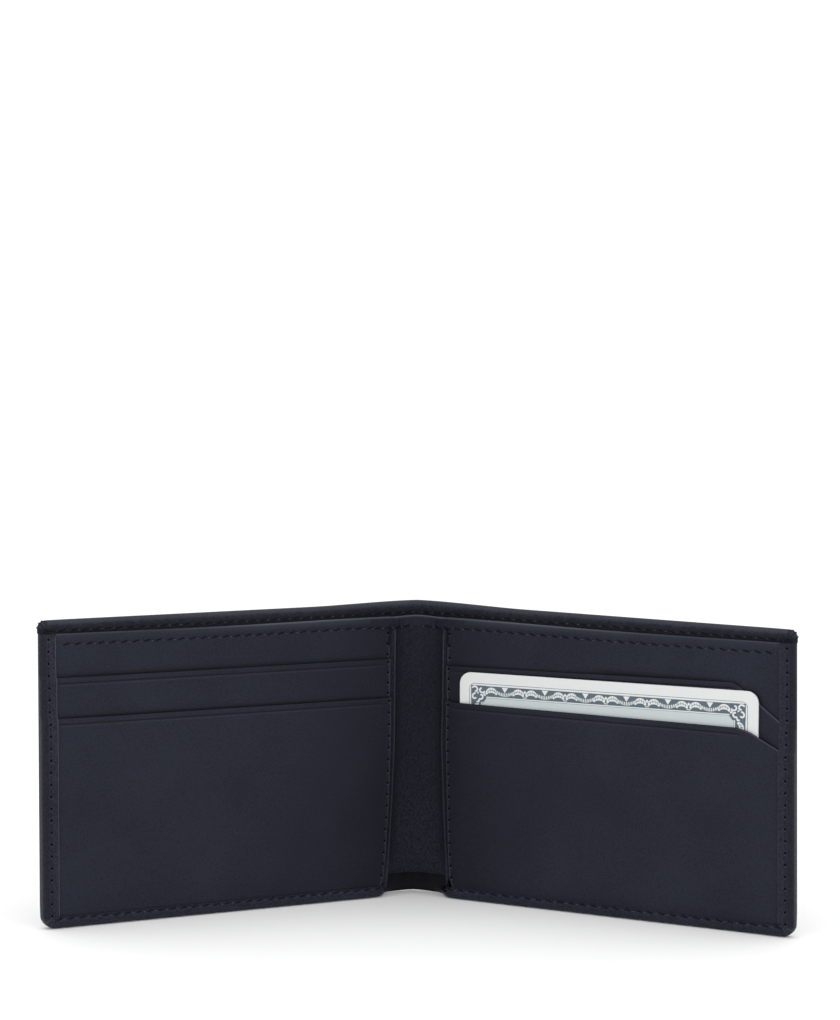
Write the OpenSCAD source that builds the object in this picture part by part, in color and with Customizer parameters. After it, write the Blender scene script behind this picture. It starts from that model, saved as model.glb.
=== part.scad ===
// Slim bifold leather wallet, standing open on its bottom edges.
// Two leaves fold about a soft leather spine. Each leaf is a stack of thin sheets: card pockets at the
// front, a banknote compartment behind them and the cover at the back, whose edges turn in over the
// sides and the bottom. A payment card slides in the right leaf's front pocket.
// Millimetres. X runs to the right, Y away from the open side, Z up. The origin is the centre of the
// bottom of the box that holds the standing wallet.
// A leaf's own sheets are drawn with u (from the leaf's inner edge to its outer edge) along X, v (from
// the front of the front pocket to the back) along Y and z up, and are then turned into place.

/* [Wallet] */
// Height of the cover
wallet_h = 81; // [78:0.5:90]
// Length of one leaf, from the inner edge of its panel to the outer edge of the cover
leaf_len = 100.5; // [98:0.1:110]
// Distance between the inner edges of the two panels
spine_gap = 14.3; // [13:0.1:17]
// Turn of each leaf out of the flat position
leaf_yaw = 26; // [20:0.5:32]
// Radius of the cover's outer corners
corner_r = 2.8; // [1:0.1:5]

/* [Leather] */
// Thickness of the cover leather
cover_t = 1; // [0.8:0.05:1.2]
// Thickness of the pared leather turned in over the edges
turn_in_t = 0.5; // [0.3:0.05:0.6]
// Width of the turn-in up the outer edge of a leaf
side_turn_in_w = 4.3; // [4:0.1:6]
// Width of the turn-in along the bottom of a leaf
bottom_turn_in_w = 4.8; // [4:0.1:6]
// Leather folded round the outer edge of a leaf
wrap_t = 0.8; // [0.5:0.05:1]
// Thickness of the front pocket leather
front_pocket_t = 0.8; // [0.6:0.05:0.8]
// Thickness of the rear pocket leather
rear_pocket_t = 0.6; // [0.4:0.05:0.6]
// Thickness of the panel behind the pockets
panel_t = 0.6; // [0.4:0.05:0.7]
// Depth of the hems along the top edges
hem_w = 7.5; // [6:0.5:10]
// Thickness of the turned part of a hem
hem_t = 0.5; // [0.3:0.05:0.55]

/* [Lining] */
// Thickness of a lining cloth
lining_t = 0.2; // [0.15:0.05:0.25]
// Thickness of the interlining board glued inside the cover
interlining_t = 0.3; // [0.2:0.05:0.35]

/* [Pockets] */
// Top edge of the panels
panel_top = 77.4; // [74:0.1:78]
// Top edge of the left leaf's upper card pocket
upper_pocket_top = 66; // [64:0.1:68]
// Top edge of the left leaf's lower card pocket
lower_pocket_top = 55.4; // [52:0.1:57]
// Top edge of the right leaf's rear card pocket
rear_pocket_top = 65.2; // [63:0.1:67]
// Top edge of the right leaf's front card pocket
front_pocket_top = 54.5; // [52:0.1:56]
// Depth of a card pocket below its top edge
pocket_depth = 45.5; // [44:0.5:48]
// Height of the leather band of a pocket that hides behind another one
pocket_band_h = 18; // [15:0.5:22]
// Width of the slot that holds the card
card_slot = 1; // [0.9:0.05:1]

/* [Card] */
// Width of the card
card_w = 85.6; // [85.4:0.1:85.8]
// Height of the card
card_h = 54; // [53.8:0.1:54.2]
// Thickness of the card
card_t = 0.76; // [0.7:0.02:0.8]
// Radius of the card's corners
card_r = 3.2; // [2.9:0.1:3.5]
// Distance of the card's lower inner corner from the leaf's inner edge
card_u = 5.3; // [4:0.1:6]
// Height of the card's lower inner corner
card_z = 9.1; // [9:0.1:12]
// Tilt of the card, outer end up
card_tilt = 0.83; // [0:0.01:1]

/* [Stitching] */
// Distance from one stitch to the next
stitch_pitch = 3.2; // [2.5:0.1:4]
// Length of the thread that shows in one stitch
stitch_len = 2.3; // [1.5:0.1:2.4]
// Width of the thread
stitch_w = 0.4; // [0.3:0.05:0.6]
// How far the thread stands above the leather
stitch_proud = 0.12; // [0.08:0.01:0.15]
// Distance of the side seam from the outer edge
side_seam_inset = 2.2; // [1.8:0.1:3.5]
// Distance of the bottom seam from the bottom edge
bottom_seam_inset = 2.8; // [1.8:0.1:3.5]
// Distance of the hem's seam from the top edge
hem_seam_inset = 2.8; // [2:0.1:4]
// Distance of the panel's seam from its inner edge
spine_seam_inset = 1.3; // [1:0.1:2]

/* [Fold] */
// Height of the soft spine strip's lower end above the bottom
spine_strip_z = 4.7; // [4:0.1:6]
// Radius of the cover's outer face across the spine
spine_r = 7.6; // [7.4:0.05:7.8]
// Half of the angle that the cover's rigid stretch takes up across the spine
spine_half_angle = 50; // [40:1:52]
// Radius of the spine strip's front face
strip_r = 3.6; // [3.2:0.1:3.8]
// Half of the angle that the spine strip takes up
strip_half_angle = 65; // [50:1:68]
// Distance between the leaves' turned-in edges when the wallet is shut
shut_gap = 0.7; // [0.6:0.1:1]

/* [Hidden] */

$fn = 64;

// Colours of the smooth pocket leather, the cover, the spine strip, cloth, board, thread and card
pocket_colour = [0.135, 0.145, 0.185];
cover_colour = [0.11, 0.118, 0.15];
strip_colour = [0.09, 0.096, 0.125];
cloth_colour = [0.08, 0.085, 0.1];
board_colour = [0.3, 0.27, 0.24];
thread_colour = [0.07, 0.08, 0.14];
card_colour = [0.86, 0.88, 0.87];

// Depth of each layer's front face behind the front of the front pocket
slot_back_v = front_pocket_t + card_slot;
panel_v = 2.5;
divider_v = panel_v + panel_t;
leaf_t = 5.4;
cover_v = leaf_t - cover_t;
interlining_v = cover_v - interlining_t;
bill_lining_v = interlining_v - lining_t;
upper_pocket_v = 1.3;

// The cover's sheets run on past the panel towards the fold and stop this far from its axis
hinge_clear = 0.55;
// The fold's axis lies in the middle of the cover leather
hinge_v = cover_v + cover_t / 2;
hinge_x = hinge_v + turn_in_t + shut_gap / 2;
hinge_u = (hinge_x - spine_gap / 2 - hinge_v * sin(leaf_yaw)) / cos(leaf_yaw);
cover_inner_u = hinge_u + hinge_clear;

// Sheets inside the leaf end where the cover wraps round its edges
stack_outer_u = leaf_len - wrap_t;
stack_bottom_z = wrap_t;
side_strip_u = leaf_len - side_turn_in_w;
hem_clear = 0.4;

// Curved ends of the right leaf's pocket edges: start, radius and slope
rear_curve_u = 83.2;
rear_curve_r = 8;
rear_curve_angle = 38;
front_curve_u = 84;
front_curve_r = 12;
front_curve_angle = 30;
curve_steps = 8;
// Inset of the slot linings from the pocket's ends
slot_lining_inset = 3;

// Plan of the spine, measured from the line between the two panels' inner edges
spine_peak_y = 10.5;
spine_centre_y = spine_peak_y - spine_r;

// The standing wallet's box runs from the front outer corners to the back of the spine
front_y = -(leaf_len * sin(leaf_yaw) + turn_in_t * cos(leaf_yaw));
centre_y = (front_y + spine_peak_y) / 2;

// The whole wallet, with the origin brought to the centre of its box
module in_frame() {
    translate([0, -centre_y, 0])
        children();
}

// Places a leaf's own drawing on the right
module on_right() {
    in_frame()
        translate([spine_gap / 2, 0, 0])
            rotate([0, 0, -leaf_yaw])
                children();
}

// Places a leaf's own drawing on the left
module on_left() {
    mirror([1, 0, 0])
        on_right()
            children();
}

// Turns an outline in u and z into a sheet t thick whose front face is at depth v
module sheet(v, t) {
    translate([0, v + t, 0])
        rotate([90, 0, 0])
            linear_extrude(t)
                children();
}

// Rectangle between two corners
module patch(u0, z0, u1, z1) {
    translate([u0, z0])
        square([u1 - u0, z1 - z0]);
}

// Outline of a leaf whose two outer corners are round
module leaf_outline(u0, z0, u1, z1, r) {
    patch(u0, z0, u1 - r, z1);
    patch(u0, z0 + r, u1, z1 - r);
    for (z = [z0 + r, z1 - r])
        translate([u1 - r, z])
            circle(r);
}

// Outline of a pocket whose top edge curves down to a slope near the outer end
module curved_pocket(z0, z1, curve_u, r, angle) {
    curve = [for (i = [0 : curve_steps])
        let (a = angle * i / curve_steps) [curve_u + r * sin(a), z1 - r * (1 - cos(a))]];
    curve_end = curve[curve_steps];
    outer_z = curve_end[1] - (stack_outer_u - curve_end[0]) * tan(angle);
    polygon(concat([[0, z0], [0, z1]], curve, [[stack_outer_u, outer_z], [stack_outer_u, z0]]));
}

// Part of a ring round the spine's centre line, facing back, from radius r to r + t
module spine_arc(r, t, half_angle, z0, z1) {
    in_frame()
        translate([0, spine_centre_y, z0])
            rotate([0, 0, 90 - half_angle])
                rotate_extrude(angle = 2 * half_angle)
                    translate([r, 0])
                        square([t, z1 - z0]);
}

// Row of upright or level stitches on a sheet's front face at depth v
module stitch_row(u0, z0, u1, z1, v) {
    run = max(abs(u1 - u0), abs(z1 - z0));
    level = abs(u1 - u0) > abs(z1 - z0);
    count = floor(run / stitch_pitch);
    spare = (run - count * stitch_pitch + stitch_pitch - stitch_len) / 2;
    for (i = [0 : count - 1]) {
        along = spare + i * stitch_pitch;
        sheet(v - stitch_proud, stitch_proud)
            translate(level ? [u0 + along, z0 - stitch_w / 2] : [u0 - stitch_w / 2, z0 + along])
                square(level ? [stitch_len, stitch_w] : [stitch_w, stitch_len]);
    }
}

// Stitches on the inside of a ring of radius r round the spine's centre line
module stitch_arc(r, angles, z) {
    half_angle = asin(stitch_len / 2 / r);
    for (a = angles)
        in_frame()
            translate([0, spine_centre_y, z - stitch_w / 2])
                rotate([0, 0, 90 + a - half_angle])
                    rotate_extrude(angle = 2 * half_angle)
                        translate([r - stitch_proud, 0])
                            square([stitch_proud, stitch_w]);
}

// --- One leaf's sheets, the same on both sides ---

module leaf_cover() {
    sheet(cover_v, cover_t)
        leaf_outline(cover_inner_u, 0, leaf_len, wallet_h, corner_r);
}

module leaf_cover_hem() {
    sheet(cover_v - hem_t, hem_t)
        patch(cover_inner_u, wallet_h - hem_w, side_strip_u, wallet_h - hem_clear);
}

module leaf_interlining() {
    sheet(interlining_v, interlining_t)
        patch(cover_inner_u, spine_strip_z, side_strip_u, wallet_h - hem_w);
}

module leaf_bill_lining() {
    sheet(bill_lining_v, lining_t)
        patch(cover_inner_u, spine_strip_z, side_strip_u, wallet_h - hem_w);
}

module leaf_divider_lining() {
    sheet(divider_v, lining_t)
        patch(0, stack_bottom_z, stack_outer_u, panel_top - hem_w);
}

module leaf_panel() {
    sheet(panel_v, panel_t)
        patch(0, stack_bottom_z, stack_outer_u, panel_top);
}

module leaf_panel_hem() {
    sheet(divider_v, hem_t)
        patch(0, panel_top - hem_w, stack_outer_u, panel_top);
}

// The cover's side: a wall round the outer edge and a strip over the front
module leaf_side_turn_in() {
    intersection() {
        sheet(-turn_in_t, cover_v + turn_in_t)
            leaf_outline(cover_inner_u, 0, leaf_len, wallet_h, corner_r);
        union() {
            sheet(-turn_in_t, turn_in_t)
                polygon([
                    [leaf_len, 0], [leaf_len, panel_top],
                    [side_strip_u, panel_top], [side_strip_u, bottom_turn_in_w],
                ]);
            sheet(-turn_in_t, cover_v + turn_in_t)
                polygon([
                    [leaf_len, 0], [leaf_len, wallet_h],
                    [stack_outer_u, wallet_h], [stack_outer_u, stack_bottom_z],
                ]);
        }
    }
}

// The cover's bottom: a wall under the sheets and a strip over the front
module leaf_bottom_turn_in() {
    intersection() {
        sheet(-turn_in_t, cover_v + turn_in_t)
            leaf_outline(cover_inner_u, 0, leaf_len, wallet_h, corner_r);
        union() {
            sheet(-turn_in_t, turn_in_t)
                polygon([
                    [0, 0], [leaf_len, 0],
                    [side_strip_u, bottom_turn_in_w], [0, bottom_turn_in_w],
                ]);
            sheet(-turn_in_t, cover_v + turn_in_t)
                polygon([[0, 0], [leaf_len, 0], [stack_outer_u, stack_bottom_z], [0, stack_bottom_z]]);
        }
    }
}

module leaf_edge_stitches() {
    seam_u = leaf_len - side_seam_inset;
    seam_z = bottom_seam_inset;
    stitch_row(seam_u, seam_z + stitch_w, seam_u, panel_top, -turn_in_t);
    stitch_row(0, seam_z, seam_u - stitch_w, seam_z, -turn_in_t);
}

module leaf_hem_stitches() {
    seam_z = panel_top - hem_seam_inset;
    stitch_row(0, seam_z, side_strip_u, seam_z, panel_v);
}

module leaf_cover_hem_stitches() {
    seam_z = wallet_h - hem_seam_inset;
    stitch_row(cover_inner_u, seam_z, side_strip_u, seam_z, cover_v - hem_t);
}

// The inner seam crosses every pocket, so its thread steps back from one to the next
module leaf_spine_seam_stitches(front_top, rear_top, rear_v) {
    u = spine_seam_inset;
    stitch_row(u, bottom_turn_in_w, u, front_top, 0);
    stitch_row(u, front_top, u, rear_top, rear_v);
    stitch_row(u, rear_top, u, panel_top - hem_seam_inset - stitch_w, panel_v);
}

// --- Spine ---

module cover_spine() {
    color(cover_colour)
        spine_arc(spine_r - cover_t, cover_t, spine_half_angle, 0, wallet_h);
}

module cover_hem_spine() {
    color(cover_colour)
        spine_arc(spine_r - cover_t - hem_t, hem_t, spine_half_angle,
                  wallet_h - hem_w, wallet_h - hem_clear);
}

module bottom_turn_in_spine() {
    color(cover_colour)
        spine_arc(spine_r - cover_t - turn_in_t, turn_in_t, spine_half_angle, 0, spine_strip_z);
}

module bill_lining_spine() {
    color(cloth_colour)
        spine_arc(spine_r - cover_t - lining_t, lining_t, spine_half_angle,
                  spine_strip_z, wallet_h - hem_w);
}

module spine_strip() {
    color(strip_colour)
        spine_arc(strip_r, panel_t, strip_half_angle, spine_strip_z, panel_top);
}

module spine_strip_hem() {
    color(strip_colour)
        spine_arc(strip_r + panel_t, hem_t, strip_half_angle, panel_top - hem_w, panel_top);
}

module hem_stitches_spine() {
    color(thread_colour)
        stitch_arc(strip_r, [-40, 40], panel_top - hem_seam_inset);
}

module cover_hem_stitches_spine() {
    r = spine_r - cover_t - hem_t;
    color(thread_colour)
        stitch_arc(r, [-30, 0, 30], wallet_h - hem_seam_inset);
}

// --- Left leaf ---

module cover_left() {
    color(cover_colour)
        on_left()
            leaf_cover();
}

module cover_hem_left() {
    color(cover_colour)
        on_left()
            leaf_cover_hem();
}

module side_turn_in_left() {
    color(cover_colour)
        on_left()
            leaf_side_turn_in();
}

module bottom_turn_in_left() {
    color(cover_colour)
        on_left()
            leaf_bottom_turn_in();
}

module interlining_left() {
    color(board_colour)
        on_left()
            leaf_interlining();
}

module bill_lining_left() {
    color(cloth_colour)
        on_left()
            leaf_bill_lining();
}

module divider_lining_left() {
    color(cloth_colour)
        on_left()
            leaf_divider_lining();
}

module panel_left() {
    color(pocket_colour)
        on_left()
            leaf_panel();
}

module panel_hem_left() {
    color(pocket_colour)
        on_left()
            leaf_panel_hem();
}

module upper_pocket_left() {
    color(pocket_colour)
        on_left()
            sheet(upper_pocket_v, rear_pocket_t)
                patch(0, upper_pocket_top - pocket_band_h, stack_outer_u, upper_pocket_top);
}

module upper_slot_lining_left() {
    color(cloth_colour)
        on_left()
            sheet(upper_pocket_v, lining_t)
                patch(slot_lining_inset, upper_pocket_top - pocket_depth,
                      stack_outer_u - slot_lining_inset, upper_pocket_top - pocket_band_h);
}

module lower_pocket_left() {
    color(pocket_colour)
        on_left()
            sheet(0, front_pocket_t)
                patch(0, stack_bottom_z, stack_outer_u, lower_pocket_top);
}

module edge_stitches_left() {
    color(thread_colour)
        on_left()
            leaf_edge_stitches();
}

module hem_stitches_left() {
    color(thread_colour)
        on_left()
            leaf_hem_stitches();
}

module cover_hem_stitches_left() {
    color(thread_colour)
        on_left()
            leaf_cover_hem_stitches();
}

module spine_seam_stitches_left() {
    color(thread_colour)
        on_left()
            leaf_spine_seam_stitches(lower_pocket_top, upper_pocket_top, upper_pocket_v);
}

// --- Right leaf ---

module cover_right() {
    color(cover_colour)
        on_right()
            leaf_cover();
}

module cover_hem_right() {
    color(cover_colour)
        on_right()
            leaf_cover_hem();
}

module side_turn_in_right() {
    color(cover_colour)
        on_right()
            leaf_side_turn_in();
}

module bottom_turn_in_right() {
    color(cover_colour)
        on_right()
            leaf_bottom_turn_in();
}

module interlining_right() {
    color(board_colour)
        on_right()
            leaf_interlining();
}

module bill_lining_right() {
    color(cloth_colour)
        on_right()
            leaf_bill_lining();
}

module divider_lining_right() {
    color(cloth_colour)
        on_right()
            leaf_divider_lining();
}

module panel_right() {
    color(pocket_colour)
        on_right()
            leaf_panel();
}

module panel_hem_right() {
    color(pocket_colour)
        on_right()
            leaf_panel_hem();
}

module rear_pocket_right() {
    color(pocket_colour)
        on_right()
            sheet(slot_back_v, rear_pocket_t)
                curved_pocket(rear_pocket_top - pocket_band_h, rear_pocket_top,
                              rear_curve_u, rear_curve_r, rear_curve_angle);
}

module rear_slot_lining_right() {
    color(cloth_colour)
        on_right()
            sheet(slot_back_v, lining_t)
                patch(slot_lining_inset, rear_pocket_top - pocket_depth,
                      stack_outer_u - slot_lining_inset, rear_pocket_top - pocket_band_h);
}

module front_pocket_right() {
    color(pocket_colour)
        on_right()
            sheet(0, front_pocket_t)
                curved_pocket(stack_bottom_z, front_pocket_top,
                              front_curve_u, front_curve_r, front_curve_angle);
}

module edge_stitches_right() {
    color(thread_colour)
        on_right()
            leaf_edge_stitches();
}

module hem_stitches_right() {
    color(thread_colour)
        on_right()
            leaf_hem_stitches();
}

module cover_hem_stitches_right() {
    color(thread_colour)
        on_right()
            leaf_cover_hem_stitches();
}

module spine_seam_stitches_right() {
    color(thread_colour)
        on_right()
            leaf_spine_seam_stitches(front_pocket_top, rear_pocket_top, slot_back_v);
}

// --- Card ---

module card() {
    color(card_colour)
        on_right()
            sheet(front_pocket_t + (card_slot - card_t) / 2, card_t)
                translate([card_u, card_z])
                    rotate(card_tilt) {
                        patch(0, card_r, card_w, card_h - card_r);
                        patch(card_r, 0, card_w - card_r, card_h);
                        for (u = [card_r, card_w - card_r])
                            for (z = [card_r, card_h - card_r])
                                translate([u, z])
                                    circle(card_r);
                    }
}

cover_spine();
cover_hem_spine();
bottom_turn_in_spine();
bill_lining_spine();
spine_strip();
spine_strip_hem();
hem_stitches_spine();
cover_hem_stitches_spine();
cover_left();
cover_hem_left();
side_turn_in_left();
bottom_turn_in_left();
interlining_left();
bill_lining_left();
divider_lining_left();
panel_left();
panel_hem_left();
upper_pocket_left();
upper_slot_lining_left();
lower_pocket_left();
edge_stitches_left();
hem_stitches_left();
cover_hem_stitches_left();
spine_seam_stitches_left();
cover_right();
cover_hem_right();
side_turn_in_right();
bottom_turn_in_right();
interlining_right();
bill_lining_right();
divider_lining_right();
panel_right();
panel_hem_right();
rear_pocket_right();
rear_slot_lining_right();
front_pocket_right();
edge_stitches_right();
hem_stitches_right();
cover_hem_stitches_right();
spine_seam_stitches_right();
card();
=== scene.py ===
import math
from functools import partial
import bmesh
import bpy
import numpy as np
from mathutils import Matrix, Vector


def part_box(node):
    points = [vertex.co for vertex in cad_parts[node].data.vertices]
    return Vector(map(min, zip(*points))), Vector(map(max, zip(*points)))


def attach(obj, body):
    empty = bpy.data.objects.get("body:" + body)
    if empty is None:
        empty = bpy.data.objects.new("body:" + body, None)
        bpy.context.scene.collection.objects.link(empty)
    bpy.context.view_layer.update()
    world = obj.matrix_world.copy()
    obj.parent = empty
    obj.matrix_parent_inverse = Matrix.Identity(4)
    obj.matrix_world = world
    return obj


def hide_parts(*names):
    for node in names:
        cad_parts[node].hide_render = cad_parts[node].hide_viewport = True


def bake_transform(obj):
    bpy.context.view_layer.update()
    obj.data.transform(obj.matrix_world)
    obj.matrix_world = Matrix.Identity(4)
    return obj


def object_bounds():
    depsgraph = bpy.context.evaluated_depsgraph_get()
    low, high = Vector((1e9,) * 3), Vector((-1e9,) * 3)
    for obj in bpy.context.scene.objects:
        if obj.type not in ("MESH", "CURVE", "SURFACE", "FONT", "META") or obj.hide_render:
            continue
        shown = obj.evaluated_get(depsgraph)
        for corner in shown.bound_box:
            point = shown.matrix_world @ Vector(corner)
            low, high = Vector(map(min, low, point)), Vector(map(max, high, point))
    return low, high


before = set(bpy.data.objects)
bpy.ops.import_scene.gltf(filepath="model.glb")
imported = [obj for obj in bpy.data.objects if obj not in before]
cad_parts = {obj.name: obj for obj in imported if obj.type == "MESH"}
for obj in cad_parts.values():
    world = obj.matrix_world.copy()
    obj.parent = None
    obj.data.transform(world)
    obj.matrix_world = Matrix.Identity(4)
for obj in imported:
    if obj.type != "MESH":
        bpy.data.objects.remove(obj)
cad_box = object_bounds()

# The wallet is drawn in millimetres and written in metres. A leaf's own coordinates are u, from the
# panel's inner edge outwards, v, from the front of the front pocket to the back of the cover, and z, up.
MM = 0.001
SIDES = {"right": 1, "left": -1}


def top_of(node):
    """Height of a CAD node's top, in millimetres."""
    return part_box(node)[1].z / MM


def bottom_of(node):
    """Height of a CAD node's bottom, in millimetres."""
    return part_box(node)[0].z / MM


# --- Sizes, in millimetres ---

LEAF_YAW = math.radians(26)
COS, SIN = math.cos(LEAF_YAW), math.sin(LEAF_YAW)
HALF_GAP = 7.15
LEAF_LEN = 100.5
LEAF_T = 5.4
SPINE_PEAK = 10.5
LEAF_Y = cad_box[1].y / MM - SPINE_PEAK

WALLET_H = top_of("cover_left")
PANEL_TOP = top_of("panel_left")
PANEL_HEM_Z = bottom_of("panel_hem_left")
COVER_HEM_Z = bottom_of("cover_hem_left")
UPPER_TOP = top_of("upper_pocket_left")
UPPER_BAND_Z = bottom_of("upper_pocket_left")
UPPER_LINING_Z = bottom_of("upper_slot_lining_left")
LOWER_TOP = top_of("lower_pocket_left")
REAR_TOP = top_of("rear_pocket_right")
REAR_BAND_Z = bottom_of("rear_pocket_right")
REAR_LINING_Z = bottom_of("rear_slot_lining_right")
FRONT_TOP = top_of("front_pocket_right")
STACK_Z = bottom_of("panel_left")
SPINE_STRIP_Z = bottom_of("spine_strip")
LINING_TOP = top_of("bill_lining_left")

STACK_U = 99.2
CORNER_R = 2.8
SIDE_STRIP_W = 4.3
BOTTOM_STRIP_W = 3.05
SIDE_SEAM = 2.2
BOTTOM_SEAM = 2.5
HEM_SEAM = 2.8
SPINE_SEAM = 0.75
STITCH_PITCH = 3.2
HEM_LINE_Z = PANEL_TOP - HEM_SEAM

PANEL_V = 2.5
PANEL_T = 0.6
HEM_T = 0.5
FRONT_T = 0.8
REAR_T = 0.6
LINING_T = 0.2
BOARD_T = 0.3
COVER_T = 1.0
SKIN_T = 0.5

CARD_U, CARD_Z = 5.3, 9.1
CARD_W, CARD_H, CARD_T, CARD_R = 85.6, 54.0, 0.76, 3.2
CARD_TILT = math.radians(0.83)
CARD_V = 0.92


def put_in_scene(name, data):
    """A new object in the scene."""
    thing = bpy.data.objects.new(name, data)
    bpy.context.scene.collection.objects.link(thing)
    return thing


# --- Camera ---

def make_camera():
    """The camera, a little above the wallet and in front of it, with a trace of roll."""
    pitch, roll, heading = 0.09815, 0.0157, 0.0227
    data = bpy.data.cameras.new("camera")
    data.lens = 111.2
    data.sensor_width = 36
    data.clip_end = 20
    camera = put_in_scene("camera", data)
    ahead = math.cos(pitch)
    forward = Vector((math.sin(heading) * ahead, math.cos(heading) * ahead, -math.sin(pitch)))
    level_right = Vector((math.cos(heading), -math.sin(heading), 0))
    level_up = level_right.cross(forward)
    right = level_right * math.cos(roll) + level_up * math.sin(roll)
    up = level_up * math.cos(roll) - level_right * math.sin(roll)
    turn = Matrix((right, up, -forward)).transposed().to_4x4()
    camera.matrix_world = Matrix.Translation((-0.0193, -0.8358, 0.1912)) @ turn
    bpy.context.scene.camera = camera


make_camera()


# --- Numbers and lines ---

def smooth(x, lo, hi):
    """0 below lo, 1 above hi, and a smooth step between."""
    t = np.clip((x - lo) / (hi - lo), 0, 1)
    return t * t * (3 - 2 * t)


def bump(x, centre, width):
    """A soft bump of height 1."""
    return np.exp(-((x - centre) / width) ** 2)


def between(x, lo, hi, soft):
    """1 from lo to hi, fading over soft on either side."""
    return smooth(x, lo - soft, lo) * (1 - smooth(x, hi, hi + soft))


SHARP = math.radians(62)
QUARTER = np.radians([0, 18, 36, 54, 72, 90])
NEAR = np.array([-0.75, -0.45, -0.25, -0.1, 0, 0.1, 0.25, 0.45, 0.75])


def lines(lo, hi, step, r, *features):
    """Grid lines from lo to hi, close together round the rims of radius r and round each feature."""
    rim = r * (1 - np.cos(QUARTER))
    count = max(2, int(round((hi - lo - 2 * r) / step)) + 1)
    spots = [lo + rim, hi - rim, np.linspace(lo + r, hi - r, count)]
    spots += [feature + NEAR for feature in features]
    every = np.unique(np.round(np.concatenate(spots), 4))
    every = every[(every >= lo) & (every <= hi)]
    keep = np.concatenate([[True], np.diff(every) > 0.02])
    keep[-1] = True
    return every[keep]


def leaf_point(u, v, z):
    """Points of the right leaf, in millimetres in the frame."""
    u, v, z = np.broadcast_arrays(u, v, z)
    return np.stack([HALF_GAP + u * COS + v * SIN, LEAF_Y - u * SIN + v * COS, z], -1)


class Plan:
    """A curve seen from above, from the spine's middle into one of the right leaf's straight sheets."""

    def __init__(self, apex_y, join_u, join_v, pull_apex, pull_join):
        t = np.linspace(0, 1, 400)
        start = np.array([0, LEAF_Y + apex_y])
        end = leaf_point(join_u, join_v, 0)[:2]
        out, along = np.array([1, 0]) * pull_apex, np.array([COS, -SIN]) * pull_join
        basis = [2 * t**3 - 3 * t**2 + 1, t**3 - 2 * t**2 + t, -2 * t**3 + 3 * t**2, t**3 - t**2]
        path = sum(np.outer(b, p) for b, p in zip(basis, [start, out, end, along]))
        step = np.diff(path, axis=0)
        self.s = np.concatenate([[0], np.cumsum(np.hypot(step[:, 0], step[:, 1]))])
        self.path = path
        self.end, self.join_u, self.join_s = end, join_u, self.s[-1]
        heading = np.gradient(path, axis=0)
        self.angle = np.unwrap(np.arctan2(heading[:, 1], heading[:, 0]))

    def s_at(self, u):
        """Length along the curve at a place on the leaf's straight part."""
        return self.join_s + (u - self.join_u)

    def bulge(self, s):
        """How far the curve lies behind the leaf's own plane."""
        behind = (self.path[:, 0] - HALF_GAP) * SIN + (self.path[:, 1] - LEAF_Y) * COS
        return np.maximum(np.interp(s, self.s, behind - behind[-1]), 0)

    def point(self, s, depth, z):
        """Points at a depth in front of the curve."""
        s, depth, z = np.broadcast_arrays(s, depth, z)
        past = np.maximum(s - self.join_s, 0)
        angle = np.interp(s, self.s, self.angle)
        x = np.interp(s, self.s, self.path[:, 0]) + past * COS
        y = np.interp(s, self.s, self.path[:, 1]) - past * SIN
        return np.stack([x + depth * np.sin(angle), y - depth * np.cos(angle), z], -1)


COVER_PLAN = Plan(SPINE_PEAK, 19.0, LEAF_T, 13, 15)
STRIP_PLAN = Plan(6.5, 0.2, PANEL_V + PANEL_T + 0.1, 8, 7)
S_MAX = COVER_PLAN.s_at(LEAF_LEN)


# --- Mesh building ---

def grid_faces(rows, columns, start=0):
    """Four-cornered faces of a grid of points, numbered row by row."""
    i, j = np.meshgrid(np.arange(rows - 1), np.arange(columns - 1), indexing="ij")
    a = start + i * columns + j
    return np.stack([a, a + columns, a + columns + 1, a + 1], -1).reshape(-1, 4)


# The leaves' outer ends stand a little out of square, by this much per millimetre of height
SLANT = {"left": 0.0123, "right": -0.028}
SLANT_Z = 40.0


def slanted(points, side):
    """Leans the outer ends of a leaf, and leaves its inner edge where it is."""
    out = np.clip((points[:, 0] - HALF_GAP) * COS - (points[:, 1] - LEAF_Y) * SIN, 0, None)
    push = (points[:, 2] - SLANT_Z) * SLANT[side] * out / LEAF_LEN
    return points + np.outer(push, [COS, -SIN, 0])


def link_mesh(name, points, faces, side, wear_and_highlight=None, shade=None, marks=None, shut=True, slant=True):
    """A smooth mesh object from points in millimetres on the right side, mirrored for the left one."""
    points = np.array(points, float).reshape(-1, 3)
    if slant:
        points = slanted(points, side)
    points *= MM
    points[:, 0] *= SIDES[side]
    mesh = bpy.data.meshes.new(name)
    mesh.from_pydata(points.tolist(), [], [list(face) for face in faces])
    if marks is not None:
        mesh.polygons.foreach_set("material_index", np.asarray(marks, np.int32))
    # The first level carries rubbing and painted highlights, the second painted shade.
    for title, given in (("wear_and_highlight", wear_and_highlight), ("shade", shade)):
        level = np.zeros(len(points)) if given is None else np.asarray(given, float).ravel()
        mesh.attributes.new(title, "FLOAT", "POINT").data.foreach_set("value", level.astype(np.float32))
    work = bmesh.new()
    work.from_mesh(mesh)
    bmesh.ops.remove_doubles(work, verts=work.verts, dist=2e-7)
    bmesh.ops.dissolve_degenerate(work, edges=work.edges, dist=1e-7)
    loose = [v for v in work.verts if not v.link_faces]
    bmesh.ops.delete(work, geom=loose, context="VERTS")
    if shut:
        bmesh.ops.recalc_face_normals(work, faces=work.faces)
    work.to_mesh(mesh)
    work.free()
    mesh.shade_smooth()
    mesh.set_sharp_from_angle(angle=SHARP)
    return put_in_scene(name, mesh)


def dress(piece, slot, nodes, *materials):
    """Gives a piece its materials and hides the CAD nodes that it stands for. slot is not used."""
    for material in materials:
        piece.data.materials.append(material)
    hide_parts(*nodes)


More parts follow.
